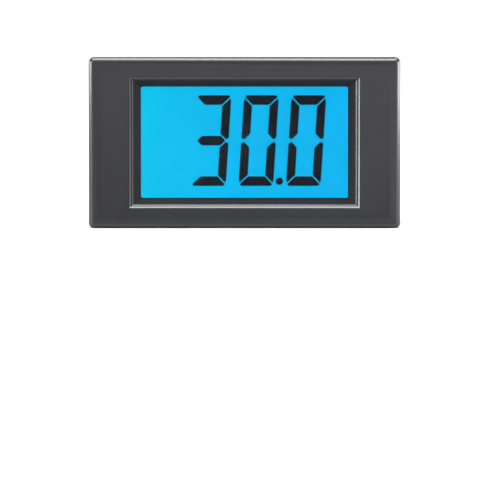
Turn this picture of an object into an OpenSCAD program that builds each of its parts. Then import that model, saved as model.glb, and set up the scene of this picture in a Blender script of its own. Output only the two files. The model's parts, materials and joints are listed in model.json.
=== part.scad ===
// Digital panel meter: a backlit three-digit liquid crystal voltmeter that snaps into a
// rectangular panel cutout, with a two-pole screw terminal at the back.
// Millimetres. The origin is the centre of the flange's rear face, where the panel lies.
// +X is to the right as seen from the front, +Y goes back into the panel, +Z is up.

/* [Bezel] */
// Width of the bezel flange
bezel_w = 79; // [77:0.5:84]
// Height of the bezel flange
bezel_h = 43.4; // [42.6:0.2:48]
// Thickness of the bezel flange
bezel_t = 3.6; // [3.3:0.1:5]
// Corner radius of the bezel
bezel_r = 1.4; // [1.2:0.1:3]
// Width of the chamfer round the bezel's face
bezel_chamfer = 0.95; // [0.4:0.05:1.1]
// Depth of the chamfer round the bezel's face
bezel_chamfer_t = 0.8; // [0.3:0.05:1.5]
// Margin between the bezel's edge and its shallow face field
field_margin = 2.9; // [2:0.1:5]
// Depth of the shallow face field
field_t = 0.12; // [0.05:0.01:0.3]

/* [Window] */
// Width of the display window
window_w = 52.5; // [51.6:0.1:53]
// Height of the display window
window_h = 28.3; // [27.9:0.1:28.6]
// Width of the sloping window frame at the sides
slope_side = 2.85; // [1:0.05:4]
// Width of the sloping window frame at the top and bottom
slope_top = 2.25; // [1:0.05:3]
// Depth of the window frame below the face, down to the glass
window_t = 2.9; // [2.4:0.1:3.2]
// Size of the fine edge break round the window frame
window_edge = 0.25; // [0.1:0.05:0.5]

/* [Body] */
// Room between the glass and the side walls, where the board screws stand
side_room = 6.3; // [6.2:0.1:6.8]
// Room between the rear glass and the top and bottom walls
top_room = 0.7; // [0.6:0.1:1.2]
// Depth of the body behind the flange
body_t = 24.5; // [24:0.5:32]
// Distance from the flange to the seam with the rear cover
seam_y = 12.5; // [12.2:0.1:14]
// Corner radius of the body
body_r = 1; // [0.6:0.1:2]
// Wall thickness of both mouldings
wall = 1.5; // [1.3:0.1:1.8]
// Step from the front housing in to the rear cover
cover_step = 0.2; // [0.05:0.05:0.4]
// Width of the shadow line along the seam
seam_gap = 0.4; // [0.2:0.1:0.8]

/* [Terminal pocket] */
// Width of the pocket round the screw terminal
pocket_w = 23.2; // [20:0.2:26]
// Height of the pocket, from its floor to the body's top
pocket_h = 13.1; // [12.4:0.1:14]
// Distance from the flange to the pocket's front edge
pocket_y = 8.1; // [8:0.1:8.6]
// Wall thickness of the pocket's cheeks and floor
pocket_wall = 1.2; // [0.8:0.1:1.6]

/* [Display] */
// How far the glass plates reach beyond the window at each side
glass_side = 2.25; // [2:0.05:2.5]
// How far the front glass plate reaches beyond the window at the top and bottom
glass_top = 1.35; // [1.2:0.05:1.5]
// Height of each contact ledge, where the rear glass plate reaches beyond the front one
ledge_h = 2.1; // [2:0.1:2.4]
// Thickness of each glass plate
glass_t = 1.1; // [0.7:0.1:1.2]
// Thickness of each polarizer film
polarizer_t = 0.2; // [0.1:0.05:0.3]
// Gap between the two glass plates
cell_t = 0.1; // [0.05:0.01:0.2]
// Height of a digit
digit_h = 23.1; // [18:0.1:24]
// Width of a digit
digit_w = 8.85; // [7:0.05:9.5]
// Distance from one digit to the next
digit_pitch = 12.05; // [11:0.05:12.6]
// Distance from the window's middle to the middle of the row of digits
digit_x = 3.6; // [0:0.1:4]
// Height of the digits' middle above the window's middle
digit_z = 0.34; // [0:0.02:1]
// Lean of the digits in degrees
digit_lean = 3.6; // [0:0.1:6]
// Thickness of a level segment
level_t = 2.45; // [1.6:0.05:2.8]
// Thickness of an upright segment
upright_t = 2.2; // [1.4:0.05:2.6]
// Gap between two segments
segment_gap = 0.28; // [0.1:0.02:0.4]
// Diameter of the decimal point
point_d = 1.9; // [1.2:0.1:2.4]
// Thickness of the diffuser film
diffuser_t = 0.3; // [0.2:0.1:0.4]
// Thickness of the light guide at its lit end
guide_t = 3; // [2.6:0.1:3.2]
// Thickness of the light guide at its far end
guide_end_t = 1.8; // [1:0.1:2.4]
// Thickness of the reflector film
reflector_t = 0.2; // [0.1:0.05:0.3]
// Number of pins in each contact row
pin_count = 18; // [10:1:18]
// Distance from one pin to the next
pin_pitch = 2.54; // [2:0.01:2.54]

/* [Circuit board] */
// Thickness of the circuit board
board_t = 1.6; // [1.2:0.1:2]
// Distance from the flange to the circuit board's rear surface
board_y = 10.5; // [10.4:0.1:10.9]
// Distance of the board screws from the side walls
boss_side = 2.2; // [2:0.05:2.3]
// Distance of the board screws from the top and bottom walls
boss_top = 4.2; // [4.1:0.1:6]
// Diameter of the board screws' shanks
board_screw_d = 2.2; // [1.8:0.1:2.4]
// Length of the board screws' shanks
board_screw_l = 6; // [4:0.5:8]

/* [Panel clips] */
// Height of each clip
clip_h = 9.6; // [7:0.1:11]
// Distance over both clips, tip to tip
clip_span = 79.2; // [78.4:0.1:79.4]
// Distance from the flange to the clips' catch faces
clip_catch_y = 3; // [2.6:0.1:4]
// Diameter of each clip's root bead
bead_d = 1.5; // [1.2:0.1:1.6]
// Width of the slit between a clip's two fingers
slit_w = 0.5; // [0.3:0.1:1]

/* [Screw terminal] */
// Distance between the two poles
pole_pitch = 7.62; // [7.5:0.01:8]
// Sideways place of the terminal block
block_x = 0.4; // [0:0.1:0.6]
// Depth of the clamping screws below the body's top
screw_depth = 5.2; // [5:0.1:5.4]
// Depth of the block's base, up and down
block_base_h = 10; // [9.8:0.1:10.4]
// Distance from the screws' axis to the wire entry face
entry_rise = 3.9; // [3.7:0.1:4]
// Diameter of the clamping screws' heads
screw_head_d = 3.8; // [3.4:0.1:4]
// Diameter of the clamping screws' threads
screw_d = 3; // [2.5:0.1:3]
// Length of the clamping screws under their heads
screw_l = 4.7; // [4.4:0.1:4.9]
// Travel of each wire cage
cage_travel = 2; // [1:0.1:2.1]

/* [Label] */
// Width of the rating label
label_w = 40; // [30:1:42]
// Depth of the rating label
label_d = 7.6; // [5:0.1:7.8]
// Sideways place of the rating label
label_x = 2.9; // [0:0.1:3.5]
// Thickness of the rating label
label_t = 0.12; // [0.05:0.01:0.3]

/* [Hidden] */
$fn = 48;

case_black = [0.17, 0.17, 0.19];
cover_black = [0.2, 0.2, 0.21];
board_green = [0.03, 0.16, 0.13];
block_green = [0.38, 0.78, 0.45];
tin = [0.78, 0.78, 0.76];
glow_blue = [0.05, 0.72, 1];

slip = 0.3;          // room between pieces that are dropped into place
running = 0.05;      // radial running clearance of a shaft in its hole
over = 1;            // how far a cut runs past the face that it opens

// The window sets the glass, the glass sets the room inside, and that sets the body
glass_w = window_w + 2 * glass_side;
front_glass_h = window_h + 2 * glass_top;
rear_glass_h = front_glass_h + 2 * ledge_h;
inner_w = glass_w + 2 * side_room;
inner_h = rear_glass_h + 2 * top_room;
body_w = inner_w + 2 * wall;
body_h = inner_h + 2 * wall;
pocket_z = body_h / 2 - pocket_h;
screw_z = body_h / 2 - screw_depth;
boss_x = inner_w / 2 - boss_side;
boss_z = inner_h / 2 - boss_top;
front_wall_t = 2;
cavity_r = 0.5;
cavity_y = front_wall_t - bezel_t;
cover_w = body_w - 2 * cover_step;
cover_h = body_h - 2 * cover_step;

// The display's layers, from the window back
polarizer_y = window_t - bezel_t;
front_glass_y = polarizer_y + polarizer_t;
cell_y = front_glass_y + glass_t;
rear_glass_y = cell_y + cell_t;
rear_polarizer_y = rear_glass_y + glass_t;
diffuser_y = rear_polarizer_y + polarizer_t;
guide_y = diffuser_y + diffuser_t;
reflector_y = guide_y + guide_t;
tray_floor_y = reflector_y + reflector_t;
tray_floor_t = 0.9;
board_front_y = board_y - board_t;
corner_cut = 0.45;
middle_reach = digit_w / 2 - 0.28 * upright_t - segment_gap / sqrt(2);
frame_wall = 1;
frame_slip = 0.2;
frame_w = glass_w + 2 * frame_slip + 2 * frame_wall;
tray_h = front_glass_h - frame_slip;
tray_ledge = 4;
film_w = window_w + 3;
film_h = tray_h - 2 * frame_wall - frame_slip;
frame_side_h = 24;
leg_x = 22;
leg_w = 4;
guide_board_t = 1;
guide_lamp_t = 1;
guide_x0 = guide_board_t + guide_lamp_t + frame_slip - film_w / 2;

// Snap hooks of the rear cover and the display frame
hook_x = boss_x - 1.6;
hook_w = 5.4;
hook_t = 1.1;
hook_y = 8.3;
hook_window = [6, 1.3];
latch_x = boss_x - 7.2;
latch_w = 2.2;
latch_t = 0.8;
latch_y = 5.9;
latch_window = [2.9, 1];

// Panel clips, drawn for the side of +X
bead_r = bead_d / 2;
bead_x = body_w / 2 - 1.25;
bead_y = seam_y - 1.5;
clip_pocket_h = clip_h + 2 * slip;
clip_pocket_x = body_w / 2 - 2.2;
clip_pocket_y = clip_catch_y - 0.6;
clip_seat_x = clip_pocket_x - 1.4;
clip_seat_h = clip_pocket_h + 2 * 1.2;

// Stays of the rear cover that hold the circuit board down on its bosses
stay_x = boss_x - 7.4;
stay_w = 1.6;
stay_z = inner_h / 2 - 2.4;
stay_h = 1.4;

// Screw terminal
block_w = 2 * pole_pitch;
block_top_z = screw_z + entry_rise;
block_low_z = block_top_z - block_base_h;
block_face_y = body_t;
block_face_low_z = screw_z - 3.2;
block_face_top_z = screw_z + 2.85;
ridge_y = block_face_y - 6.1;
head_seat_y = block_face_y - 2.5;
head_t = 2.1;
chamber_y = head_seat_y - 0.8;
chamber_w = 5;
chamber_h = 5.6;
cage_w = 4.6;
cage_h = 5.2;
cage_side = 0.6;
cage_head_t = 1.3;
cage_foot_t = 0.8;
cage_y0 = board_y + 1.1;
cage_y1 = chamber_y - cage_travel - slip;
screw_tip_y = head_seat_y - screw_l;
bar_t = 0.8;
bar_y = screw_tip_y - slip - bar_t;
bar_w = cage_w - 2 * cage_side - 0.4;
bar_leg_z = block_low_z + 2;
entry_w = 4;
leg_slot_w = 3.4;
head_room = 0.2;
rib_y = ridge_y - 1.9;
rib_w = 2.6;
rib_out = 0.6;
rib_in = 0.2;
slot_turn = [38, 23];

// Board screws and what stands on the board
pilot_r = board_screw_d / 2 + running;
boss_r = 2.3;
head_r = 2.1;
board_w = inner_w - 1;
board_h = inner_h - 0.6;
tab_z = body_h / 2 - 0.6;
pin_row_z = rear_glass_h / 2 - 1;
pin_w = 0.5;
pin_t = 0.25;
pin_grip = 1.2;
trimmer_x = 21;
trimmer_z = boss_z - 5.6;
trimmer_w = 6.6;
trimmer_t = 4.8;
rotor_d = 3.6;
rotor_t = 2.5;
chip_x = -14;
chip_z = -6;
chip_dome_r = 13;
chip_rise = 1.8;
film_cap_w = 7.2;
film_cap_t = 6.4;
film_cap_h = 2.7;
film_cap_x = 4;
film_cap_z = -14;
film_cap_pitch = 5;
can_x = 21;
can_z = -8;
can_r = 3.15;
can_t = 7.9;
can_edge = 0.3;
can_groove = 1.5;
resistor_x = -25.6;
resistor_z = -12.4;
resistor_pitch = 4;
resistor_l = 6.2;
resistor_d = 2.2;
diode_x = -19;
diode_z = trimmer_z;
diode_l = 5;
diode_d = 2.6;
regulator_x = -19;
regulator_z = 13;
regulator_d = 4.6;
regulator_flat = 1.3;
regulator_stand = 2;
lead_d = 0.6;
lead_pitch = 1.27;
lead_reach = 1.5;
lead_sunk = 0.2;
part_rise = 0.4;

// ---------------------------------------------------------------- shared shapes

// A flat outline in X and Z, carried from y0 back to y1.
module behind(y0, y1)
  translate([0, y1, 0]) rotate([90, 0, 0]) linear_extrude(y1 - y0) children();

// An outline in Y and Z, carried from x0 to x1.
module across(x0, x1)
  translate([x0, 0, 0]) rotate([90, 0, 90]) linear_extrude(x1 - x0) children();

// An outline in X and Y, carried from z0 up to z1.
module upward(z0, z1)
  translate([0, 0, z0]) linear_extrude(z1 - z0) children();

// A rectangle with round corners, about the middle.
module rounded(w, h, r) {
  square([w - 2 * r, h], center = true);
  square([w, h - 2 * r], center = true);
  for (x = [-1, 1], z = [-1, 1])
    translate([x * (w / 2 - r), z * (h / 2 - r)]) circle(r);
}

module plate(w, h, y0, y1, r = 0)
  behind(y0, y1) if (r > 0) rounded(w, h, r); else square([w, h], center = true);

// A round bar along Y, from y0 back to y1.
module bar(d, x, z, y0, y1)
  translate([x, y0, z]) rotate([-90, 0, 0]) cylinder(h = y1 - y0, d = d);

module block(x, y, z)
  translate([x[0], y[0], z[0]]) cube([x[1] - x[0], y[1] - y[0], z[1] - z[0]]);

// Both sides of the body, left and right.
module both_sides() {
  children();
  mirror([1, 0, 0]) children();
}

module four_corners() {
  both_sides() children();
  mirror([0, 0, 1]) both_sides() children();
}

// A plate with round corners and a straight chamfer round one face.
module chamfered_plate(w, h, y_plain, y_face, r, inward, along) {
  way = y_face > y_plain ? 1 : -1;
  y_start = y_face - way * along;
  across(-w / 2 + r, w / 2 - r)
    polygon([
      [y_plain, -h / 2], [y_plain, h / 2], [y_start, h / 2],
      [y_face, h / 2 - inward], [y_face, inward - h / 2], [y_start, -h / 2]
    ]);
  upward(-h / 2 + r, h / 2 - r)
    polygon([
      [-w / 2, y_plain], [w / 2, y_plain], [w / 2, y_start],
      [w / 2 - inward, y_face], [inward - w / 2, y_face], [-w / 2, y_start]
    ]);
  for (x = [-1, 1], z = [-1, 1])
    translate([x * (w / 2 - r), y_plain, z * (h / 2 - r)]) rotate([-90 * way, 0, 0]) {
      cylinder(h = abs(y_start - y_plain), r = r);
      translate([0, 0, abs(y_start - y_plain)])
        cylinder(h = along, r1 = r, r2 = r - inward);
    }
}

// A four-sided funnel with mitred corners, narrowing from front_y back to rear_y.
module mitred_funnel(front, rear, front_y, rear_y)
  intersection() {
    across(-front[0], front[0])
      polygon([
        [front_y, -front[1] / 2], [front_y, front[1] / 2],
        [rear_y, rear[1] / 2], [rear_y, -rear[1] / 2]
      ]);
    upward(-front[1], front[1])
      polygon([
        [-front[0] / 2, front_y], [front[0] / 2, front_y],
        [rear[0] / 2, rear_y], [-rear[0] / 2, rear_y]
      ]);
  }

// ---------------------------------------------------------------- mouldings

// The window with its sloping frame, its fine edge break and its thin lip.
module window_cut() {
  lip_t = 0.2;
  frame_front = [window_w + 2 * slope_side, window_h + 2 * slope_top];
  edge_front = frame_front + [2, 2] * window_edge;
  deep = window_t - lip_t;
  mitred_funnel(frame_front, [window_w, window_h], -bezel_t, deep - bezel_t);
  mitred_funnel(
    edge_front + [2, 2], frame_front - [2, 2] * window_edge,
    -bezel_t - 1, window_edge - bezel_t + window_edge
  );
  plate(window_w, window_h, deep - bezel_t - 0.01, polarizer_y + over, 0.45);
}

module cavity()
  plate(inner_w, inner_h, cavity_y, seam_y + over, cavity_r);

// The seat of a clip: a thickened wall with an open pocket and a bead socket.
module clip_seat_block()
  block([clip_seat_x, body_w / 2 - wall / 2], [cavity_y, seam_y], [-1, 1] * clip_seat_h / 2);

module clip_seat_cut() {
  block(
    [clip_pocket_x, body_w / 2 + over], [clip_pocket_y, bead_y - bead_r / 2],
    [-1, 1] * clip_pocket_h / 2
  );
  translate([bead_x, bead_y, -clip_pocket_h / 2])
    cylinder(h = clip_pocket_h, r = bead_r + running);
}

module housing_boss(x, z)
  bar(2 * boss_r, x, z, cavity_y, board_front_y);

module front_housing() color(case_black)
  difference() {
    union() {
      difference() {
        union() {
          chamfered_plate(
            bezel_w, bezel_h, 0, -bezel_t, bezel_r, bezel_chamfer, bezel_chamfer_t
          );
          plate(body_w, body_h, -0.5, seam_y, body_r);
        }
        cavity();
      }
      plate(window_w + 6, window_h + 5.2, cavity_y - 0.2, polarizer_y);
      four_corners() housing_boss(boss_x, boss_z);
      both_sides() clip_seat_block();
    }
    plate(
      bezel_w - 2 * field_margin, bezel_h - 2 * field_margin,
      -bezel_t - over, field_t - bezel_t
    );
    window_cut();
    four_corners() bar(2 * pilot_r, boss_x, boss_z, board_front_y - board_screw_l, board_y);
    both_sides() clip_seat_cut();
    // the shadow line along the seam
    difference() {
      plate(body_w + over, body_h + over, seam_y - seam_gap, seam_y + over);
      plate(body_w - wall, body_h - wall, seam_y - seam_gap - over, seam_y + 2 * over, body_r / 2);
    }
    // windows for the rear cover's hooks and the display frame's latches
    four_corners() {
      translate([hook_x, hook_y, inner_h / 2])
        cube([hook_window[0], hook_window[1], 3 * wall], center = true);
      translate([latch_x, latch_y, inner_h / 2])
        cube([latch_window[0], latch_window[1], 3 * wall], center = true);
    }
    // the terminal pocket's share of the top wall
    block([-1, 1] * pocket_w / 2, [pocket_y, seam_y + over], [inner_h / 2 - 1, body_h]);
    // the label's recess
    block(
      [label_x - label_w / 2 - 0.2, label_x + label_w / 2 + 0.2],
      [0.1, pocket_y + 0.01], [body_h / 2 - label_t, body_h]
    );
  }

// One hook: a tongue along the inside of the wall, with a barb at its end.
module cover_hook() {
  tongue_z = cover_h / 2 - wall;
  root_y = seam_y + 4;
  barb_y = hook_y + hook_window[1] / 2 - 0.1;
  across(hook_x - hook_w / 2, hook_x + hook_w / 2)
    polygon([
      [root_y, tongue_z - hook_t], [root_y, tongue_z + 0.4], [seam_y + 0.3, tongue_z + 0.4],
      [seam_y + 0.3, tongue_z], [barb_y, tongue_z], [barb_y, tongue_z + 1],
      [barb_y - 0.4, tongue_z + 1], [barb_y - 1, tongue_z], [barb_y - 1, tongue_z - hook_t]
    ]);
}

module pocket_walls() {
  front_y = board_y + slip;
  outer_x = pocket_w / 2 + pocket_wall;
  low_z = pocket_z - pocket_wall;
  block([-outer_x, outer_x], [front_y, seam_y], [low_z, inner_h / 2 - slip]);
  block([-outer_x, outer_x], [seam_y, body_t - wall / 2], [low_z, cover_h / 2 - wall / 2]);
}

module cover_stay()
  block(
    [stay_x - stay_w / 2, stay_x + stay_w / 2], [board_y, body_t - wall / 2],
    [-stay_z - stay_h / 2, stay_h / 2 - stay_z]
  );

module rear_cover() color(cover_black)
  difference() {
    union() {
      difference() {
        chamfered_plate(cover_w, cover_h, seam_y, body_t, body_r, 0.35, 0.35);
        plate(cover_w - 2 * wall, cover_h - 2 * wall, seam_y - over, body_t - wall, cavity_r);
      }
      pocket_walls();
      four_corners() cover_hook();
      both_sides() cover_stay();
    }
    block([-1, 1] * pocket_w / 2, [board_y, body_t + over], [pocket_z, body_h]);
    // the fine groove that sets off the rear rim
    difference() {
      plate(body_w + over, body_h + over, body_t - 1.5, body_t - 1.2);
      plate(cover_w - 0.6, cover_h - 0.6, body_t - 2, body_t, body_r / 2);
    }
  }

// One panel clip on the side of +X: a root bead and a barbed tongue in two fingers.
module panel_clip() {
  tip_x = clip_span / 2;
  outline = [
    [bead_x - 0.35, bead_y], [bead_x - 0.35, bead_y - 0.8], [bead_x - 0.1, bead_y - 1.4],
    [tip_x - 1.4, clip_catch_y], [tip_x - 0.25, clip_catch_y],
    [tip_x, clip_catch_y + 0.45], [bead_x + 1.15, bead_y - 1.6],
    [bead_x + 0.35, bead_y - 0.7], [bead_x + 0.35, bead_y]
  ];
  difference() {
    union() {
      upward(-clip_h / 2, clip_h / 2) polygon(outline);
      translate([bead_x, bead_y, -clip_h / 2]) cylinder(h = clip_h, r = bead_r);
    }
    block([bead_x - over, tip_x + over], [0, bead_y - 2.2], [-1, 1] * slit_w / 2);
  }
}

module panel_clip_right() color(cover_black) panel_clip();

module panel_clip_left() color(cover_black) mirror([1, 0, 0]) panel_clip();

module rating_label() color("white")
  block(
    [label_x - label_w / 2, label_x + label_w / 2], [0.3, 0.3 + label_d],
    [body_h / 2 - label_t, body_h / 2]
  );

// ---------------------------------------------------------------- display

module front_polarizer() color(glow_blue, 0.3)
  plate(glass_w - 1, front_glass_h - 1, polarizer_y, front_glass_y);

module front_glass() color(glow_blue, 0.3)
  plate(glass_w, front_glass_h, front_glass_y, cell_y);

module cell_seal() color("dimgray")
  difference() {
    plate(glass_w, front_glass_h, cell_y, rear_glass_y);
    plate(glass_w - 1.6, front_glass_h - 1.6, cell_y - over, rear_glass_y + over, 0.6);
  }

// The middle segment of a digit, pointed at both ends.
module middle_segment() {
  half = middle_reach;
  tip = level_t / 2;
  polygon([
    [-half, 0], [tip - half, tip], [half - tip, tip],
    [half, 0], [half - tip, -tip], [tip - half, -tip]
  ]);
}

// The top or bottom segment of a digit: a trapezium with its long side outwards.
module end_segment() {
  half = digit_w / 2 - segment_gap;
  polygon([
    [corner_cut - half, digit_h / 2], [half - corner_cut, digit_h / 2],
    [half, digit_h / 2 - corner_cut], [half - level_t + corner_cut, digit_h / 2 - level_t],
    [level_t - corner_cut - half, digit_h / 2 - level_t], [-half, digit_h / 2 - corner_cut]
  ]);
}

// The upper right segment of a digit: an upright whose mitres stay one gap away from
// the top and middle segments. The upper mitre rises with X, and the lower one falls.
module side_segment() {
  outer = digit_w / 2;
  inner = outer - upright_t;
  apart = segment_gap * sqrt(2);
  upper = digit_h / 2 - corner_cut - digit_w / 2 + segment_gap - apart;
  lower = middle_reach + apart;
  polygon([
    [inner, inner + upper], [inner, lower - inner],
    [lower - segment_gap, segment_gap], [outer, segment_gap + corner_cut],
    [outer, outer + upper - 2 * corner_cut],
    [outer - 0.6 * corner_cut, outer + upper - 0.6 * corner_cut]
  ]);
}

// One digit, as the list of its lit segments: a top, b and c right, d bottom,
// e and f left, g middle.
module digit(lit) {
  if (len(search("a", lit)) > 0) end_segment();
  if (len(search("b", lit)) > 0) side_segment();
  if (len(search("c", lit)) > 0) mirror([0, 1]) side_segment();
  if (len(search("d", lit)) > 0) mirror([0, 1]) end_segment();
  if (len(search("e", lit)) > 0) mirror([0, 1]) mirror([1, 0]) side_segment();
  if (len(search("f", lit)) > 0) mirror([1, 0]) side_segment();
  if (len(search("g", lit)) > 0) middle_segment();
}

module leaning()
  multmatrix([[1, tan(digit_lean), 0, 0], [0, 1, 0, 0], [0, 0, 1, 0], [0, 0, 0, 1]])
    children();

module lcd_segments() color("black")
  behind(cell_y, rear_glass_y) translate([digit_x, digit_z]) {
    leaning() {
      translate([-digit_pitch, 0]) digit("abcdg");
      digit("abcdef");
      translate([digit_pitch, 0]) digit("abcdef");
    }
    translate([digit_pitch / 2 - 0.75, 1.2 - digit_h / 2]) circle(d = point_d);
  }

module rear_glass() color(glow_blue, 0.3)
  plate(glass_w, rear_glass_h, rear_glass_y, rear_polarizer_y);

module rear_polarizer() color(glow_blue)
  plate(film_w, film_h, rear_polarizer_y, diffuser_y);

module diffuser_film() color("white")
  plate(film_w, film_h, diffuser_y, guide_y);

// The acrylic plate thins away from the lamps, so its light leaves evenly.
module light_guide() color([0.85, 0.95, 1], 0.6)
  upward(-film_h / 2, film_h / 2)
    polygon([
      [guide_x0, guide_y], [film_w / 2, guide_y],
      [film_w / 2, guide_y + guide_end_t], [guide_x0, reflector_y]
    ]);

module reflector_film() color("white")
  plate(film_w, film_h, reflector_y, tray_floor_y);

module backlight_board() color(board_green)
  block([-film_w / 2, guide_board_t - film_w / 2], [guide_y, reflector_y], [-1, 1] * film_h / 2);

module backlight_leds() color("ivory") {
  lamp_h = film_h / 8;
  for (row = [-1:1])
    translate([guide_board_t - film_w / 2, guide_y + frame_slip, row * film_h / 3.3 - lamp_h / 2])
      cube([guide_lamp_t, guide_t - 2 * frame_slip, lamp_h]);
}

// The moulded tray that carries the glass and the backlight on the circuit board.
module display_frame() color("gainsboro")
  difference() {
    union() {
      plate(frame_w, tray_h, rear_polarizer_y, tray_floor_y + tray_floor_t);
      both_sides()
        block(
          [frame_w / 2 - frame_wall, frame_w / 2], [front_glass_y, board_front_y],
          [-1, 1] * frame_side_h / 2
        );
      four_corners() {
        block(
          [leg_x - leg_w / 2, leg_x + leg_w / 2], [tray_floor_y, board_front_y],
          [tray_h / 2 - frame_wall, tray_h / 2]
        );
        block(
          [latch_x - latch_w / 2, latch_x + latch_w / 2],
          [latch_y - latch_t / 2, latch_y + latch_t / 2], [tray_h / 2 - 1, inner_h / 2 + 0.8]
        );
      }
    }
    plate(film_w + frame_slip, film_h + frame_slip, rear_polarizer_y - over, tray_floor_y);
    plate(
      film_w - 2 * tray_ledge, film_h - 2 * tray_ledge,
      tray_floor_y - over, tray_floor_y + 2 * over, tray_ledge / 2
    );
  }

// One contact pin: it clips over the glass's ledge, steps in and ends flush in the board.
module contact_pin() {
  edge_z = rear_glass_h / 2;
  front_y = rear_glass_y - pin_t;
  step_y = rear_polarizer_y + 0.3;
  across(-pin_w / 2, pin_w / 2)
    polygon([
      [front_y, edge_z - pin_grip], [front_y, edge_z + pin_t], [step_y + pin_t, edge_z + pin_t],
      [step_y + pin_t, pin_row_z + pin_t / 2], [board_y, pin_row_z + pin_t / 2],
      [board_y, pin_row_z - pin_t / 2], [step_y, pin_row_z - pin_t / 2],
      [step_y, edge_z], [rear_glass_y, edge_z], [rear_glass_y, edge_z - pin_grip]
    ]);
}

module pin_places()
  for (i = [0:pin_count - 1]) translate([(i - (pin_count - 1) / 2) * pin_pitch, 0, 0]) children();

module contact_pins_top() color(tin) pin_places() contact_pin();

module contact_pins_bottom() color(tin) pin_places() mirror([0, 0, 1]) contact_pin();

// ---------------------------------------------------------------- circuit board

module board_outline()
  difference() {
    union() {
      rounded(board_w, board_h, 0.5);
      translate([-pocket_w / 2 + slip, 0]) square([pocket_w - 2 * slip, tab_z]);
    }
    for (x = [-1, 1], z = [-1, 1])
      translate([x * (hook_x + 1), z * (board_h / 2)])
        square([hook_w + 3, 2 * (board_h / 2 - boss_z - boss_r - 0.1)], center = true);
    for (x = [-1, 1])
      translate([x * board_w / 2, 0])
        square([2 * (board_w / 2 - clip_seat_x + slip), clip_seat_h + 2 * slip], center = true);
    for (x = [-1, 1], z = [-1, 1]) translate([x * boss_x, z * boss_z]) circle(d = board_screw_d + 0.5);
    for (i = [0:pin_count - 1], z = [-1, 1])
      translate([(i - (pin_count - 1) / 2) * pin_pitch, z * pin_row_z]) circle(d = 0.9);
    for (side = [-1, 1])
      translate([block_x + side * pole_pitch / 2, bar_leg_z]) circle(d = 1.7);
  }

module circuit_board() color(board_green)
  behind(board_front_y, board_y) board_outline();

// A pan-head screw with a cross recess, pointing forward.
module board_screw() {
  bar(board_screw_d, 0, 0, board_y - board_t - board_screw_l + 0.4, board_y + 0.5);
  difference() {
    bar(2 * head_r, 0, 0, board_y, board_y + 1.5);
    for (turn = [0, 90])
      translate([0, board_y + 1.2, 0]) rotate([0, turn, 0]) cube([2.4, 1, 0.5], center = true);
  }
}

module board_screws() color(tin)
  four_corners() translate([boss_x, 0, boss_z]) board_screw();

module driver_chip() color([0.08, 0.08, 0.08])
  translate([chip_x, board_y, chip_z]) rotate([-90, 0, 0])
    rotate_extrude()
      intersection() {
        translate([0, chip_rise - chip_dome_r]) circle(r = chip_dome_r, $fn = 96);
        square(chip_dome_r);
      }

module film_capacitors() color([0.75, 0.1, 0.08])
  for (row = [0:2])
    translate([film_cap_x, board_y, film_cap_z + row * film_cap_pitch]) {
      translate([0, part_rise, 0]) cube([film_cap_w, film_cap_t, film_cap_h]);
      for (x = [-2, 2])
        translate([film_cap_w / 2 + x * lead_pitch, 0, film_cap_h / 2]) rotate([-90, 0, 0])
          cylinder(h = part_rise + lead_sunk, d = lead_d);
    }

module smoothing_capacitor() color([0.1, 0.12, 0.2])
  translate([can_x, board_y, can_z]) rotate([-90, 0, 0])
    rotate_extrude()
      polygon([
        [0, 0], [can_r - can_edge, 0], [can_r, can_edge],
        [can_r, can_groove - can_edge], [can_r - can_edge, can_groove],
        [can_r, can_groove + can_edge],
        [can_r, can_t - can_edge], [can_r - can_edge, can_t], [0, can_t]
      ]);

// An axial part that lies on the board: a body between two bent leads.
module axial_part(length, d) {
  rise = d / 2 + lead_sunk;
  bend_x = length / 2 + lead_reach;
  translate([-length / 2, rise, 0]) rotate([0, 90, 0]) cylinder(h = length, d = d);
  both_sides() {
    translate([length / 2 - lead_sunk, rise, 0]) rotate([0, 90, 0])
      cylinder(h = lead_reach + lead_sunk, d = lead_d);
    translate([bend_x, 0, 0]) rotate([-90, 0, 0]) cylinder(h = rise, d = lead_d);
    translate([bend_x, rise, 0]) sphere(d = lead_d);
  }
}

module resistors() color([0.45, 0.6, 0.75])
  for (row = [0:4])
    translate([resistor_x, board_y, resistor_z + row * resistor_pitch])
      axial_part(resistor_l, resistor_d);

module protection_diode() color([0.1, 0.1, 0.1])
  translate([diode_x, board_y, diode_z]) axial_part(diode_l, diode_d);

module voltage_regulator() color([0.09, 0.09, 0.09])
  translate([regulator_x, board_y, regulator_z]) {
    for (x = [-1:1])
      translate([x * lead_pitch, 0, 0]) rotate([-90, 0, 0])
        cylinder(h = regulator_stand + lead_sunk, d = lead_d);
    translate([0, regulator_stand, 0]) rotate([-90, 0, 0])
      intersection() {
        cylinder(h = regulator_d, d = regulator_d);
        translate([-regulator_d / 2, -regulator_flat, 0]) cube(regulator_d);
      }
  }

module trimmer_body() color([0.1, 0.25, 0.6])
  difference() {
    block(
      [trimmer_x - trimmer_w / 2, trimmer_x + trimmer_w / 2],
      [board_y, board_y + trimmer_t], [trimmer_z - trimmer_w / 2, trimmer_z + trimmer_w / 2]
    );
    bar(
      rotor_d + 2 * running, trimmer_x, trimmer_z,
      board_y + trimmer_t - part_rise - rotor_t, board_y + trimmer_t + over
    );
  }

module trimmer_rotor() color("white")
  difference() {
    bar(
      rotor_d, trimmer_x, trimmer_z,
      board_y + trimmer_t - part_rise - rotor_t + running, board_y + trimmer_t - part_rise
    );
    for (turn = [0, 90])
      translate([trimmer_x, board_y + trimmer_t, trimmer_z]) rotate([0, turn, 0])
        cube([rotor_d * 0.7, rotor_t * 0.8, rotor_d / 6], center = true);
  }

// ---------------------------------------------------------------- screw terminal

// Places its children at one pole; side is -1 on the left and 1 on the right.
module at_pole(side)
  translate([block_x + side * pole_pitch / 2, 0, 0]) children();

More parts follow.
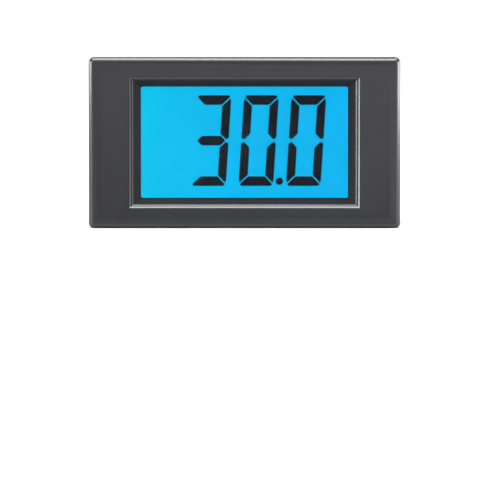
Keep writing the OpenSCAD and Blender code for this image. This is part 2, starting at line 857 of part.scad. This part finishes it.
// The block's side outline: its foot on the board, the wire face on top with a raised
// lip and a groove, the slope down to the screw face, and the slope underneath.
module block_outline() {
  lip = 0.4;
  polygon([
    [board_y, block_low_z], [board_y, block_top_z],
    [ridge_y - 2, block_top_z], [ridge_y - 2, block_top_z + lip],
    [ridge_y, block_top_z + lip], [ridge_y, block_top_z - 0.3],
    [ridge_y + 0.45, block_top_z - 0.3], [ridge_y + 0.45, block_top_z],
    [block_face_y - 0.3, block_face_top_z], [block_face_y, block_face_top_z - 0.3],
    [block_face_y, block_face_low_z + 0.3], [block_face_y - 0.3, block_face_low_z],
    [board_y + 5, block_low_z]
  ]);
}

// The chamber of one pole: screw hole, cage chamber, slot for the bar's leg, wire entry.
module pole_cuts() {
  bar(screw_head_d + 2 * head_room, 0, screw_z, head_seat_y, block_face_y + over);
  bar(screw_d + slip, 0, screw_z, chamber_y - over, block_face_y);
  block(
    [-1, 1] * chamber_w / 2, [board_y - over, chamber_y],
    [screw_z - chamber_h / 2, screw_z + chamber_h / 2]
  );
  block(
    [-1, 1] * leg_slot_w / 2, [board_y - over, bar_y + bar_t + 0.2], [bar_leg_z - 0.9, screw_z]
  );
  block([-1, 1] * entry_w / 2, [cage_y0 + 0.7, bar_y - 0.1], [screw_z, block_top_z + over]);
  across(-entry_w / 2, entry_w / 2)
    polygon([
      [cage_y0 + 0.7, block_top_z - 0.8], [bar_y - 0.1, block_top_z - 0.8],
      [bar_y + 0.6, block_top_z + 0.1], [cage_y0, block_top_z + 0.1]
    ]);
}

// The dovetail rib that locks a block to its neighbour.
module interlock(grow)
  upward(block_low_z + 1.5 - grow, block_top_z - 0.5 + grow) {
    far = rib_w / 2 + grow;
    near = far - (rib_out + rib_in) / 2;
    polygon([
      [rib_in, rib_y - near], [-rib_out, rib_y - far], [-rib_out, rib_y + far], [rib_in, rib_y + near]
    ]);
  }

module terminal_block() color(block_green)
  difference() {
    union() {
      across(block_x - block_w / 2, block_x + block_w / 2) block_outline();
      translate([block_x - block_w / 2, 0, 0]) interlock(0);
    }
    for (side = [-1, 1]) at_pole(side) pole_cuts();
    translate([block_x + block_w / 2, 0, 0]) interlock(0.1);
  }

// A slotted clamping screw: its head sits in the block and its thread lifts the cage.
module terminal_screw(turn)
  translate([0, 0, screw_z]) difference() {
    union() {
      bar(screw_head_d, 0, 0, head_seat_y + running, head_seat_y + head_t);
      bar(screw_d, 0, 0, screw_tip_y, head_seat_y + 1);
    }
    translate([0, head_seat_y + head_t, 0]) rotate([0, turn, 0])
      cube([0.8, 2, 2 * screw_head_d], center = true);
  }

module terminal_screw_left() color(tin) at_pole(-1) terminal_screw(slot_turn[0]);

module terminal_screw_right() color(tin) at_pole(1) terminal_screw(slot_turn[1]);

// A folded cage round the contact bar, open upwards and downwards for the wire.
module wire_cage()
  difference() {
    block(
      [-1, 1] * cage_w / 2, [cage_y0, cage_y1], [screw_z - cage_h / 2, screw_z + cage_h / 2]
    );
    block(
      [-1, 1] * (cage_w / 2 - cage_side), [cage_y0 + cage_foot_t, cage_y1 - cage_head_t],
      [screw_z - cage_h, screw_z + cage_h]
    );
    bar(screw_d + 2 * running, 0, screw_z, cage_y1 - 2 * cage_head_t, cage_y1 + over);
  }

module wire_cage_left() color([0.8, 0.7, 0.4]) at_pole(-1) wire_cage();

module wire_cage_right() color([0.8, 0.7, 0.4]) at_pole(1) wire_cage();

// The fixed bar that the cage pulls the wire against, with its solder leg.
module contact_bar() {
  block([-1, 1] * bar_w / 2, [bar_y, bar_y + bar_t], [bar_leg_z - 0.5, screw_z + cage_h / 2]);
  block([-0.5, 0.5], [board_front_y - 1, bar_y + bar_t], [bar_leg_z - 0.5, bar_leg_z + 0.5]);
}

module contact_bar_left() color(tin) at_pole(-1) contact_bar();

module contact_bar_right() color(tin) at_pole(1) contact_bar();

front_housing();
rear_cover();
panel_clip_left();
panel_clip_right();
rating_label();
front_polarizer();
front_glass();
cell_seal();
lcd_segments();
rear_glass();
rear_polarizer();
diffuser_film();
light_guide();
reflector_film();
backlight_board();
backlight_leds();
display_frame();
contact_pins_top();
contact_pins_bottom();
circuit_board();
board_screws();
driver_chip();
film_capacitors();
smoothing_capacitor();
resistors();
voltage_regulator();
protection_diode();
trimmer_body();
trimmer_rotor();
terminal_block();
terminal_screw_left();
terminal_screw_right();
wire_cage_left();
wire_cage_right();
contact_bar_left();
contact_bar_right();
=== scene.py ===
# %% [markdown]
# # A digital panel meter
#
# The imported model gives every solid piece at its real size. This lesson dresses those pieces: it
# gives each material its grain and gloss, eases the edges of the mouldings, and sets the floor, the
# lights and the camera. Lengths are in metres, +X is to the right as seen from the front, +Y goes
# back into the panel and +Z is up.

import json
import math

import bmesh
import bpy
import numpy as np
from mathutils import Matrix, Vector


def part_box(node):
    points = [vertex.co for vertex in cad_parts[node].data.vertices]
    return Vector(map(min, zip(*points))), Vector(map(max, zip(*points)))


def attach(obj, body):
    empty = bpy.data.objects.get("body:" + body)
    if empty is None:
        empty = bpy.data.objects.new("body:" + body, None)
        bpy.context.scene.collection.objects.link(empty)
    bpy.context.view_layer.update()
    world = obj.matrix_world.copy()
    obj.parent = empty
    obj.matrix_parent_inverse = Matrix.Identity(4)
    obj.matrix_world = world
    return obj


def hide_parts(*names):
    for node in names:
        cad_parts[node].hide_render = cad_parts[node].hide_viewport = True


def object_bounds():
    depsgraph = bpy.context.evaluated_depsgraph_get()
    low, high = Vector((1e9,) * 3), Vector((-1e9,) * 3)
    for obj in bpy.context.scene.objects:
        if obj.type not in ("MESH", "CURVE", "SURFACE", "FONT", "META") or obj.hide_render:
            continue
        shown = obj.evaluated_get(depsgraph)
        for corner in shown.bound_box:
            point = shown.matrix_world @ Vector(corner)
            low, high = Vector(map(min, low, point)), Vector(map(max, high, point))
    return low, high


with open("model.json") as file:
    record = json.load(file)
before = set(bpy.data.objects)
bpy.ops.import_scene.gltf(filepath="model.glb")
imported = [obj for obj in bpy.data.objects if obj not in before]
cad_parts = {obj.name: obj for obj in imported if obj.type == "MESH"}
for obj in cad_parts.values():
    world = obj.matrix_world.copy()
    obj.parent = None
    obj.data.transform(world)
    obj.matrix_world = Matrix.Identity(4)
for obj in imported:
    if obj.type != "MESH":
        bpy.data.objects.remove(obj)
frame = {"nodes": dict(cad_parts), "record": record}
cad_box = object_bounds()
nodes = frame["nodes"]
slot_of = {part["node"]: part["material_slot"] for part in frame["record"]["subparts"]}
MM = 0.001

# %% [markdown]
# ## Camera
#
# A small object is seen from far away through a long lens, so that its edges stay parallel.
# The camera stands a little above the meter and looks slightly down. It aims below the middle of
# the bezel, because the meter sits in the upper half of the picture.

# %% Camera
SCREEN_SPAN = 126.9 * MM  # width of the scene that fills the picture
SENSOR = 36.0 * MM
CAMERA_DISTANCE = 1.6
CAMERA_RISE = math.radians(4.9)
VIEW_REACH = 20.0  # the camera sees nothing beyond this distance
face_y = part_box("front_housing")[0].y
aim_x, aim_drop = 1.4 * MM, 27.2 * MM

camera_data = bpy.data.cameras.new("camera")
camera_data.sensor_width = SENSOR / MM
camera_data.lens = SENSOR / SCREEN_SPAN * CAMERA_DISTANCE / MM
camera = bpy.data.objects.new("camera", camera_data)
camera.location = (
    aim_x,
    face_y - CAMERA_DISTANCE * math.cos(CAMERA_RISE),
    CAMERA_DISTANCE * math.sin(CAMERA_RISE) - aim_drop,
)
camera.rotation_euler = (math.pi / 2 - CAMERA_RISE, 0, 0)
camera_data.clip_end = VIEW_REACH
bpy.context.scene.collection.objects.link(camera)
bpy.context.scene.camera = camera
print("lens", round(camera_data.lens, 1), "mm")

# %% [markdown]
# ## Small helpers for materials
#
# Every finish starts from a Principled shader. Its base colour, roughness and height come from
# noise that reads the object's own coordinates, so the pattern stays on the piece when it moves.
# The sizes of the noise are given in millimetres of the real surface.


# %% A finish made of noise
NOISE_LOW, NOISE_HIGH = 0.3, 0.7  # nearly all noise values lie between these
WIDE_DETAIL, FINE_DETAIL, NOISE_ROUGHNESS = 4.0, 2.0, 0.6


def srgb(red, green, blue):
    """Screen values from 0 to 255, turned into linear light by the usual power curve."""
    values = np.array([red, green, blue]) / 255.0
    linear = np.where(values <= 0.04045, values / 12.92, ((values + 0.055) / 1.055) ** 2.4)
    return tuple(linear) + (1.0,)


def scaled(color, factor):
    """A colour made lighter or darker by one factor, up to white."""
    return tuple(min(1.0, value * factor) for value in color[:3]) + (1.0,)


def math_node(tree, operation, first, second):
    """One step of arithmetic on two values, each a socket or a number."""
    node = tree.nodes.new("ShaderNodeMath")
    node.operation = operation
    for socket, value in zip(node.inputs, (first, second)):
        if isinstance(value, (int, float)):
            socket.default_value = value
        else:
            tree.links.new(value, socket)
    return node.outputs["Value"]


def coordinates(tree, kind="Object"):
    """The piece's own place or normal at each point, as three sockets."""
    place = tree.nodes.new("ShaderNodeTexCoord")
    split = tree.nodes.new("ShaderNodeSeparateXYZ")
    tree.links.new(place.outputs[kind], split.inputs["Vector"])
    return split.outputs


def noise(tree, grain_mm, detail, roughness=0.5):
    """A noise value over the surface, whose blotches are about grain_mm wide."""
    place = tree.nodes.new("ShaderNodeTexCoord")
    texture = tree.nodes.new("ShaderNodeTexNoise")
    texture.inputs["Scale"].default_value = 1.0 / (grain_mm * MM)
    texture.inputs["Detail"].default_value = detail
    texture.inputs["Roughness"].default_value = roughness
    tree.links.new(place.outputs["Object"], texture.inputs["Vector"])
    return texture.outputs["Fac"]


def ramp(tree, value, stops):
    """Colours along a value: stops is a list of (place, colour)."""
    node = tree.nodes.new("ShaderNodeValToRGB")
    points = node.color_ramp.elements
    while len(points) < len(stops):
        points.new(0.5)
    for point, (place, color) in zip(points, stops):
        point.position = place
        point.color = color
    tree.links.new(value, node.inputs["Fac"])
    return node.outputs["Color"]


def spread(tree, value, low, high):
    """A noise value from NOISE_LOW to NOISE_HIGH, carried onto the range from low to high."""
    node = tree.nodes.new("ShaderNodeMapRange")
    node.inputs["From Min"].default_value = NOISE_LOW
    node.inputs["From Max"].default_value = NOISE_HIGH
    node.inputs["To Min"].default_value = low
    node.inputs["To Max"].default_value = high
    tree.links.new(value, node.inputs["Value"])
    return node.outputs["Result"]


def finish(
    name, color, roughness, grain_mm, *, vary=0.08, gloss_vary=0.05, bump_mm=0.0,
    metallic=0.0, specular=0.5, mottle_mm=6.0, coat=0.0, alpha=1.0,
):
    """A Principled finish: colour mottled by wide noise, roughness and height by fine noise."""
    made = bpy.data.materials.new(name)
    made.use_nodes = True
    tree = made.node_tree
    shader = tree.nodes["Principled BSDF"]
    shader.inputs["Metallic"].default_value = metallic
    shader.inputs["Specular IOR Level"].default_value = specular
    shader.inputs["Coat Weight"].default_value = coat
    shader.inputs["Alpha"].default_value = alpha
    wide = noise(tree, mottle_mm, WIDE_DETAIL, NOISE_ROUGHNESS)
    fine = noise(tree, grain_mm, FINE_DETAIL, NOISE_ROUGHNESS)
    darker, lighter = scaled(color, 1 - vary), scaled(color, 1 + vary)
    tint = ramp(tree, wide, [(NOISE_LOW, darker), (NOISE_HIGH, lighter)])
    tree.links.new(tint, shader.inputs["Base Color"])
    gloss = spread(tree, fine, roughness - gloss_vary, roughness + gloss_vary)
    tree.links.new(gloss, shader.inputs["Roughness"])
    if bump_mm:
        bump = tree.nodes.new("ShaderNodeBump")
        bump.inputs["Strength"].default_value = 1.0
        bump.inputs["Distance"].default_value = bump_mm * MM
        tree.links.new(fine, bump.inputs["Height"])
        tree.links.new(bump.outputs["Normal"], shader.inputs["Normal"])
    return made


# %% [markdown]
# ## Finishes of the mouldings
#
# The bezel and the housing are one satin black moulding with a very fine spark-eroded grain.
# The grain is only a few thousandths of a millimetre high, which is why it is a bump and not a
# mesh. The rear cover is a neutral black, and the clips are a lighter grey.

# %% Plastics
finishes = {
    "case_front": finish(
        "case_front", srgb(28, 28, 33), 0.36, 0.16, vary=0.1, bump_mm=0.003, specular=0.4
    ),
    "case_rear": finish(
        "case_rear", srgb(40, 40, 42), 0.42, 0.2, vary=0.05, bump_mm=0.003, specular=0.4
    ),
    "clip": finish("clip", srgb(58, 58, 60), 0.4, 0.2, vary=0.08, bump_mm=0.003),
    "terminal_green": finish(
        "terminal_green", srgb(84, 186, 100), 0.3, 0.25, vary=0.05, bump_mm=0.003, coat=0.1
    ),
    "frame_plastic": finish("frame_plastic", srgb(228, 228, 224), 0.45, 0.3, bump_mm=0.003),
    "trimmer_blue": finish("trimmer_blue", srgb(40, 92, 190), 0.35, 0.3, bump_mm=0.002),
    "trimmer_white": finish("trimmer_white", srgb(226, 226, 220), 0.4, 0.3, bump_mm=0.002),
    "epoxy": finish("epoxy", srgb(26, 26, 27), 0.38, 0.2, vary=0.15, bump_mm=0.006),
    "capacitor_red": finish("capacitor_red", srgb(176, 48, 38), 0.25, 0.4, bump_mm=0.005),
    "capacitor_sleeve": finish("capacitor_sleeve", srgb(30, 38, 66), 0.3, 0.4, bump_mm=0.003),
    "resistor": finish("resistor", srgb(126, 164, 196), 0.35, 0.3, bump_mm=0.004),
    "seal": finish("seal", srgb(120, 122, 124), 0.5, 0.2, bump_mm=0.003),
    "led": finish("led", srgb(236, 232, 214), 0.3, 0.2, bump_mm=0.002),
}
print(len(finishes), "plastics")

# %% [markdown]
# ## The polished rim and the matt recess
#
# The mould is polished where it cuts the chamfer round the bezel and the fine edge round the
# window frame, so these catch thin bright lines. The slopes of the window frame are matt. The
# finish tells the zones apart by the piece's own coordinates and normals: the rim is where the
# surface leans close to the face, and the recess is deeper, inside the frame.

# %% Zones of the front moulding
RIM_DEPTH = 0.85 * MM
FRAME_REACH = 0.9 * MM  # how far the sloping frame reaches beyond the glass plate
LEANING_BELOW = 0.97  # a normal with less than this along Y leans away from the face
RIM_POLISH = 0.5  # share of the roughness that polishing takes off the rim
RECESS_ROUGHNESS = 0.12
FACE_SHINE, RIM_SHINE, RECESS_SHINE = 0.4, 0.25, 0.3  # the rim adds its share, the recess loses it
glass_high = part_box("front_glass")[1]


def zone_the_bezel(made):
    """Give the rim a lower roughness and more shine, and the recess a higher roughness and less."""
    tree = made.node_tree
    shader = tree.nodes["Principled BSDF"]
    place, normal = coordinates(tree), coordinates(tree, "Normal")
    near_face = math_node(tree, "LESS_THAN", place["Y"], face_y + RIM_DEPTH)
    facing = math_node(tree, "ABSOLUTE", normal["Y"], 0.0)
    leaning = math_node(tree, "LESS_THAN", facing, LEANING_BELOW)
    rim = math_node(tree, "MULTIPLY", near_face, leaning)
    across = math_node(tree, "ABSOLUTE", place["X"], 0.0)
    upward = math_node(tree, "ABSOLUTE", place["Z"], 0.0)
    inside_w = math_node(tree, "LESS_THAN", across, glass_high.x + FRAME_REACH)
    inside_h = math_node(tree, "LESS_THAN", upward, glass_high.z + FRAME_REACH)
    inside = math_node(tree, "MULTIPLY", inside_w, inside_h)
    recess = math_node(tree, "MAXIMUM", math_node(tree, "SUBTRACT", inside, rim), 0.0)
    plain = shader.inputs["Roughness"].links[0].from_socket
    less = math_node(tree, "SUBTRACT", 1.0, math_node(tree, "MULTIPLY", rim, RIM_POLISH))
    gloss = math_node(tree, "MULTIPLY", plain, less)
    gloss = math_node(tree, "ADD", gloss, math_node(tree, "MULTIPLY", recess, RECESS_ROUGHNESS))
    tree.links.new(gloss, shader.inputs["Roughness"])
    shine = math_node(tree, "ADD", math_node(tree, "MULTIPLY", rim, RIM_SHINE), FACE_SHINE)
    shine = math_node(tree, "SUBTRACT", shine, math_node(tree, "MULTIPLY", recess, RECESS_SHINE))
    tree.links.new(shine, shader.inputs["Specular IOR Level"])


zone_the_bezel(finishes["case_front"])
print("case_front has a polished rim and a matt recess")

# %% [markdown]
# ## Metals
#
# The clamping screws are steel with a bright zinc plate. Plating leaves a soft cloudiness, so the
# grain is fine and the roughness changes from place to place. The wire cages are brass, hidden in
# the block.

# %% Metals
finishes["terminal_screw"] = finish(
    "terminal_screw", srgb(236, 236, 238), 0.24, 0.06, metallic=1.0, vary=0.04,
    gloss_vary=0.08, bump_mm=0.004, mottle_mm=1.5,
)
finishes["steel_screw"] = finish(
    "steel_screw", srgb(196, 196, 196), 0.32, 0.08, metallic=1.0, bump_mm=0.003
)
finishes["tinned_pin"] = finish(
    "tinned_pin", srgb(206, 205, 200), 0.3, 0.1, metallic=1.0, bump_mm=0.002
)
finishes["tinned_bar"] = finish(
    "tinned_bar", srgb(212, 206, 190), 0.3, 0.1, metallic=1.0, bump_mm=0.002
)
finishes["cage"] = finish("cage", srgb(208, 190, 140), 0.28, 0.1, metallic=1.0, bump_mm=0.002)
print(len(finishes), "finishes with the metals")

# %% [markdown]
# ## Films and boards
#
# The board is covered with a thin dark green lacquer, the solder resist. The label is plain white
# film. Optical films and the light guide are hidden behind the glowing display.

# %% Films, board and label
finishes["board"] = finish(
    "board", srgb(12, 50, 46), 0.28, 0.5, vary=0.18, bump_mm=0.004, coat=0.3, mottle_mm=2.5
)
finishes["label"] = finish("label", srgb(232, 232, 230), 0.5, 0.15, vary=0.02, bump_mm=0.002)
finishes["film"] = finish("film", srgb(238, 240, 240), 0.5, 0.4, vary=0.02, bump_mm=0.001)
finishes["acrylic"] = finish("acrylic", srgb(214, 230, 238), 0.1, 0.6, vary=0.03, bump_mm=0.001)
finishes["segment"] = finish(
    "segment", srgb(2, 3, 6), 0.5, 0.3, vary=0.3, gloss_vary=0.02, specular=0.1
)
finishes["lcd_glass"] = finish(
    "lcd_glass", srgb(30, 60, 80), 0.08, 2.0, vary=0.02, gloss_vary=0.01, alpha=0.02
)
finishes["polarizer"] = finish(
    "polarizer", srgb(16, 40, 60), 0.35, 0.12, vary=0.04, gloss_vary=0.05, alpha=0.05
)
print(len(finishes), "finishes with the films")

# %% [markdown]
# ## The glowing film
#
# The lamps sit at the left end of the light guide. The film glows a strong even blue that turns
# slightly more cyan and brighter towards the lamps. A ramp along X gives that shift, and a very
# faint wide noise keeps it from looking like paint.

# %% Backlit blue
def display_glow(low, high):
    """Blue light whose colour runs along X from the lamps at low to the far end at high."""
    made = bpy.data.materials.new("display_glow")
    made.use_nodes = True
    tree = made.node_tree
    shader = tree.nodes["Principled BSDF"]
    along = tree.nodes.new("ShaderNodeMapRange")
    along.inputs["From Min"].default_value = low
    along.inputs["From Max"].default_value = high
    tree.links.new(coordinates(tree)["X"], along.inputs["Value"])
    glow = ramp(tree, along.outputs["Result"], [
        (0.0, srgb(0, 212, 255)), (0.12, srgb(0, 204, 255)),
        (0.45, srgb(0, 196, 255)), (1.0, srgb(0, 190, 255)),
    ])
    cloud = spread(tree, noise(tree, 14.0, 2.0), 0.97, 1.03)
    mix = tree.nodes.new("ShaderNodeVectorMath")
    mix.operation = "SCALE"
    tree.links.new(glow, mix.inputs[0])
    tree.links.new(cloud, mix.inputs["Scale"])
    tree.links.new(mix.outputs["Vector"], shader.inputs["Emission Color"])
    shader.inputs["Emission Strength"].default_value = 1.0
    shader.inputs["Base Color"].default_value = (0.0, 0.005, 0.01, 1.0)
    shader.inputs["Specular IOR Level"].default_value = 0.1
    shader.inputs["Roughness"].default_value = 0.6
    return made


glow_low, glow_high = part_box("rear_polarizer")
finishes["display_glow"] = display_glow(glow_low.x, glow_high.x)

for name, node in nodes.items():
    node.data.materials.clear()
    node.data.materials.append(finishes[slot_of[name]])
print("dressed", len(nodes), "nodes in", len(finishes), "finishes")

# %% [markdown]
# ## Eased edges
#
# No moulding has a razor edge. The tool that it comes from leaves a radius of a tenth of a
# millimetre or so, and that thin round is what catches the light along every edge. A copy of the
# solid is welded, its flat faces are joined, and a Bevel modifier rounds each sharp edge. The copy
# then stands in for the solid, which stays in the model for its motion and its collision.


# %% Ease the edges of a copy
WELD_DISTANCE = 1e-6
FLAT_ANGLE = math.radians(1.0)  # faces that meet at less than this are joined
SHARP_ANGLE = math.radians(30.0)  # edges sharper than this are rounded
ROUND_SEGMENTS = 2


def eased(node_name, radius_mm):
    """A copy of a node whose sharp edges are rounded to the radius."""
    source = nodes[node_name]
    mesh = source.data.copy()
    work = bmesh.new()
    work.from_mesh(mesh)
    bmesh.ops.remove_doubles(work, verts=work.verts, dist=WELD_DISTANCE)
    bmesh.ops.dissolve_limit(work, angle_limit=FLAT_ANGLE, verts=work.verts, edges=work.edges)
    for face in work.faces:
        face.smooth = True
    work.to_mesh(mesh)
    work.free()
    piece = bpy.data.objects.new(node_name + "_eased", mesh)
    bpy.context.scene.collection.objects.link(piece)
    round_edges = piece.modifiers.new("round_edges", "BEVEL")
    round_edges.width = radius_mm * MM
    round_edges.segments = ROUND_SEGMENTS
    round_edges.limit_method = "ANGLE"
    round_edges.angle_limit = SHARP_ANGLE
    round_edges.harden_normals = True
    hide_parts(node_name)
    return piece


bodies = frame["record"]["behaviour"]["bodies"]
body_of_node = {node: body for body, group in bodies.items() for node in group}
EASED_MM = {
    "front_housing": 0.15, "rear_cover": 0.12, "panel_clip_left": 0.1, "panel_clip_right": 0.1,
    "terminal_block": 0.12, "terminal_screw_left": 0.08, "terminal_screw_right": 0.08,
    "circuit_board": 0.05,
}
for node_name, radius_mm in EASED_MM.items():
    piece = eased(node_name, radius_mm)
    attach(piece, body_of_node[node_name])
    print(piece.name, len(piece.data.polygons), "faces")

# %% [markdown]
# ## Floor
#
# The studio has a pale floor that curves up behind the meter into a wall. It is a stage, not part
# of the meter.

# %% Floor
FLOOR_REACH, WALL_RISE, BEND_RADIUS = 3.0, 4.0, 0.6
floor_z = cad_box[0].z - 0.01 * MM


def sweep_floor(depth, width, rise, radius, steps=24):
    """A floor that bends up into a wall: a straight run, a quarter circle, a straight rise.

    Along the bend, y grows by the radius times the sine of the turn, and z by the radius times
    one minus its cosine.
    """
    turn = np.linspace(0, math.pi / 2, steps)
    y = np.concatenate([[-depth], depth - radius + radius * np.sin(turn), [depth]])
    z = np.concatenate([[0.0], radius - radius * np.cos(turn), [rise]])
    points = np.stack([
        np.concatenate([np.full(len(y), -width), np.full(len(y), width)]),
        np.tile(y, 2), np.tile(z, 2) + floor_z,
    ], axis=1)
    n = len(y)
    index = np.arange(n - 1)
    faces = np.stack([index, index + n, index + n + 1, index + 1], axis=1)
    mesh = bpy.data.meshes.new("floor")
    mesh.from_pydata(points.tolist(), [], faces.tolist())
    for polygon in mesh.polygons:
        polygon.use_smooth = True
    return bpy.data.objects.new("floor", mesh)


floor = sweep_floor(FLOOR_REACH, FLOOR_REACH, WALL_RISE, BEND_RADIUS)
pale = finish("floor", srgb(250, 250, 250), 0.7, 3.0, vary=0.004, gloss_vary=0.02)
floor.data.materials.append(pale)
bpy.context.scene.collection.objects.link(floor)
print("floor", len(floor.data.polygons), "faces")

# %% [markdown]
# ## Lights
#
# Long strips stand at the left, at the right and above, and their reflections draw the bright
# lines along the chamfers. The right strip is stronger than the left one, and a weak lamp in front
# lights the right-hand side. The world is white to the sides, above and below, and dims straight
# ahead and straight behind, so that the face mirrors less of it.


# %% Lights
def strip_light(name, place, size, power):
    """A rectangular light that faces the meter."""
    data = bpy.data.lights.new(name, "AREA")
    data.shape = "RECTANGLE"
    data.size, data.size_y = size
    data.energy = power
    light = bpy.data.objects.new(name, data)
    light.location = place
    direction = -np.array(place)
    light.rotation_euler = (
        math.atan2(math.hypot(direction[0], direction[1]), -direction[2]),
        0, math.atan2(direction[1], direction[0]) - math.pi / 2,
    )
    bpy.context.scene.collection.objects.link(light)


LAMPS = {  # place in metres, width and height in metres, power in watts
    "left_strip": ((-0.8, -0.09, -0.01), (0.22, 0.5), 4.0),
    "right_strip": ((0.8, -0.09, -0.01), (0.22, 0.5), 4.6),
    "top_strip": ((0.0, -0.17, 0.85), (0.9, 0.16), 5.5),
    "right_lamp": ((0.27, -0.42, 0.08), (0.3, 0.3), 0.7),
}
for name, (place, size, power) in LAMPS.items():
    strip_light(name, place, size, power)

DIM_FROM, DIMMEST = 0.55, 0.3
WORLD_STRENGTH = 1.25
world = bpy.data.worlds.new("studio")
world.use_nodes = True
sky = world.node_tree
along_y = math_node(sky, "ABSOLUTE", coordinates(sky, "Generated")["Y"], 0.0)
dim = (DIMMEST, DIMMEST, DIMMEST, 1.0)
room = ramp(sky, along_y, [(DIM_FROM, (1.0, 1.0, 1.0, 1.0)), (1.0, dim)])
sky.links.new(room, sky.nodes["Background"].inputs["Color"])
sky.nodes["Background"].inputs["Strength"].default_value = WORLD_STRENGTH
bpy.context.scene.world = world
bpy.context.scene.view_settings.view_transform = "Standard"
print(len(LAMPS), "lights and a pale world")
